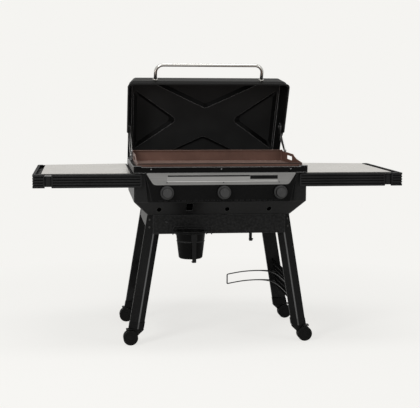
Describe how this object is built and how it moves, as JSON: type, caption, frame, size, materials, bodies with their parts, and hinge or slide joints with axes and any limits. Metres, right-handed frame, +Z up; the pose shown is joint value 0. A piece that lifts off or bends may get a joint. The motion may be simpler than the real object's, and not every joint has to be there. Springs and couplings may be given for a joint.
{
  "type": "outdoor gas griddle station",
  "caption": "Outdoor gas griddle cart with a linkage lid, lift-up handle, control knobs, side shelves, splayed legs on casters and a slide-out grease bucket.",
  "frame": {"origin": "on the floor, at the centre of the whole part's footprint", "axes": "+X to the right along the shelves, +Y to the back, +Z up"},
  "size_m": [1.854, 0.986, 1.4299],
  "materials": {
    "painted_sheet": "fine textured black paint",
    "enamel": "semi-gloss black enamel",
    "stainless": "fine brushed",
    "handle_tube": "satin brushed tube",
    "trim_silver": "satin silver grey",
    "inset_grey": "dark strip",
    "griddle_steel": "seasoned brown rolled steel",
    "knob_plastic": "satin dark grey",
    "black_plastic": "moulded black",
    "wheel_plastic": "moulded black with a soft tread",
    "zinc": "zinc plated",
    "brass": "machined",
    "burner_steel": "stainless tube",
    "wire": "powder coated wire"
  },
  "bodies": {
    "cart": {"apron_front": "painted_sheet", "apron_rear": "painted_sheet", "bucket_hanger": "wire", "burner_left": "burner_steel", "burner_middle": "burner_steel", "burner_rails": "zinc", "burner_right": "burner_steel", "control_panel": "enamel", "cooktop_rim": "enamel", "drain_chute": "painted_sheet", "firebox": "painted_sheet", "gas_manifold": "zinc", "gas_valves": "brass", "griddle_plate": "griddle_steel", "hinge_brackets": "enamel", "igniters": "zinc", "leg_boots": "black_plastic", "leg_front_left": "painted_sheet", "leg_front_right": "painted_sheet", "leg_rear_left": "painted_sheet", "leg_rear_right": "painted_sheet", "panel_trim": "trim_silver", "shelf_rails_left": "painted_sheet", "shelf_rails_right": "painted_sheet", "shelf_top_left": "stainless", "shelf_top_right": "stainless", "side_aprons": "painted_sheet", "side_panel_left": "painted_sheet", "side_panel_right": "painted_sheet", "tank_guard": "wire", "tank_hook": "painted_sheet", "trim_inset": "inset_grey"},
    "lid": {"lid_shell": "enamel", "lid_handle": "handle_tube", "lid_hinge_brackets": "enamel"},
    "lid_arms": {"lid_arms": "zinc"},
    "stay_arms": {"stay_arms": "zinc"},
    "bucket": {"grease_bucket": "painted_sheet", "bucket_clip": "black_plastic"},
    "stem_left": {"valve_stem_left": "zinc"},
    "knob_left": {"knob_left": "knob_plastic"},
    "stem_middle": {"valve_stem_middle": "zinc"},
    "knob_middle": {"knob_middle": "knob_plastic"},
    "stem_right": {"valve_stem_right": "zinc"},
    "knob_right": {"knob_right": "knob_plastic"},
    "caster_front_left": {"caster_fork_front_left": "black_plastic"},
    "wheel_front_left": {"caster_wheel_front_left": "wheel_plastic"},
    "brake_front_left": {"brake_lever_front_left": "black_plastic"},
    "caster_front_right": {"caster_fork_front_right": "black_plastic"},
    "wheel_front_right": {"caster_wheel_front_right": "wheel_plastic"},
    "brake_front_right": {"brake_lever_front_right": "black_plastic"},
    "caster_rear_left": {"caster_fork_rear_left": "black_plastic"},
    "wheel_rear_left": {"caster_wheel_rear_left": "wheel_plastic"},
    "brake_rear_left": {"brake_lever_rear_left": "black_plastic"},
    "caster_rear_right": {"caster_fork_rear_right": "black_plastic"},
    "wheel_rear_right": {"caster_wheel_rear_right": "wheel_plastic"},
    "brake_rear_right": {"brake_lever_rear_right": "black_plastic"}
  },
  "joints": [
    {"name": "lid_arm_swing", "type": "hinge", "parent": "cart", "child": "lid_arms", "pos_m": [0, 0.1147, 0.9587], "axis": [1, 0, 0], "range_deg": [0, 140.1]},
    {"name": "lid_tilt", "type": "hinge", "parent": "lid_arms", "child": "lid", "pos_m": [0, 0.29099, 1.08352], "axis": [1, 0, 0], "range_deg": [-78.1, 0.01]},
    {"name": "stay_swing", "type": "hinge", "parent": "cart", "child": "stay_arms", "pos_m": [0, 0.1229, 0.9341], "axis": [1, 0, 0], "range_deg": [0, 153.05]},
    {"name": "knob_push_left", "type": "slide", "parent": "cart", "child": "stem_left", "axis": [0, 1, 0], "range_m": [0, 0.003], "stiffness_N_per_m": 600},
    {"name": "knob_turn_left", "type": "hinge", "parent": "stem_left", "child": "knob_left", "pos_m": [-0.272, -0.42, 0.786], "axis": [0, -1, 0], "range_deg": [0, 225]},
    {"name": "knob_push_middle", "type": "slide", "parent": "cart", "child": "stem_middle", "axis": [0, 1, 0], "range_m": [0, 0.003], "stiffness_N_per_m": 600},
    {"name": "knob_turn_middle", "type": "hinge", "parent": "stem_middle", "child": "knob_middle", "pos_m": [0.012, -0.42, 0.786], "axis": [0, -1, 0], "range_deg": [0, 225]},
    {"name": "knob_push_right", "type": "slide", "parent": "cart", "child": "stem_right", "axis": [0, 1, 0], "range_m": [0, 0.003], "stiffness_N_per_m": 600},
    {"name": "knob_turn_right", "type": "hinge", "parent": "stem_right", "child": "knob_right", "pos_m": [0.296, -0.42, 0.786], "axis": [0, -1, 0], "range_deg": [0, 225]},
    {"name": "caster_swivel_front_left", "type": "hinge", "parent": "cart", "child": "caster_front_left", "pos_m": [-0.419, -0.301, 0.09], "axis": [0, 0, 1], "continuous": true},
    {"name": "wheel_spin_front_left", "type": "hinge", "parent": "caster_front_left", "child": "wheel_front_left", "pos_m": [-0.45, -0.301, 0.0375], "axis": [0, 1, 0], "continuous": true},
    {"name": "brake_tilt_front_left", "type": "hinge", "parent": "caster_front_left", "child": "brake_front_left", "pos_m": [-0.43, -0.301, 0.0795], "axis": [0, -1, 0], "range_deg": [0, 8]},
    {"name": "caster_swivel_front_right", "type": "hinge", "parent": "cart", "child": "caster_front_right", "pos_m": [0.419, -0.301, 0.09], "axis": [0, 0, 1], "continuous": true},
    {"name": "wheel_spin_front_right", "type": "hinge", "parent": "caster_front_right", "child": "wheel_front_right", "pos_m": [0.45, -0.301, 0.0375], "axis": [0, 1, 0], "continuous": true},
    {"name": "brake_tilt_front_right", "type": "hinge", "parent": "caster_front_right", "child": "brake_front_right", "pos_m": [0.43, -0.301, 0.0795], "axis": [0, 1, 0], "range_deg": [0, 8]},
    {"name": "caster_swivel_rear_left", "type": "hinge", "parent": "cart", "child": "caster_rear_left", "pos_m": [-0.419, 0.231, 0.09], "axis": [0, 0, 1], "continuous": true},
    {"name": "wheel_spin_rear_left", "type": "hinge", "parent": "caster_rear_left", "child": "wheel_rear_left", "pos_m": [-0.45, 0.231, 0.0375], "axis": [0, 1, 0], "continuous": true},
    {"name": "brake_tilt_rear_left", "type": "hinge", "parent": "caster_rear_left", "child": "brake_rear_left", "pos_m": [-0.43, 0.231, 0.0795], "axis": [0, -1, 0], "range_deg": [0, 8]},
    {"name": "caster_swivel_rear_right", "type": "hinge", "parent": "cart", "child": "caster_rear_right", "pos_m": [0.419, 0.231, 0.09], "axis": [0, 0, 1], "continuous": true},
    {"name": "wheel_spin_rear_right", "type": "hinge", "parent": "caster_rear_right", "child": "wheel_rear_right", "pos_m": [0.45, 0.231, 0.0375], "axis": [0, 1, 0], "continuous": true},
    {"name": "brake_tilt_rear_right", "type": "hinge", "parent": "caster_rear_right", "child": "brake_rear_right", "pos_m": [0.43, 0.231, 0.0795], "axis": [0, 1, 0], "range_deg": [0, 8]},
    {"name": "bucket_slide", "type": "slide", "parent": "cart", "child": "bucket", "axis": [0, -1, 0], "range_m": [0, 0.16]}
  ],
  "couplings": [
    {"joint": "lid_tilt", "follows": "lid_arm_swing", "ratio": -0.5574},
    {"joint": "stay_swing", "follows": "lid_arm_swing", "ratio": 1.0921}
  ]
}
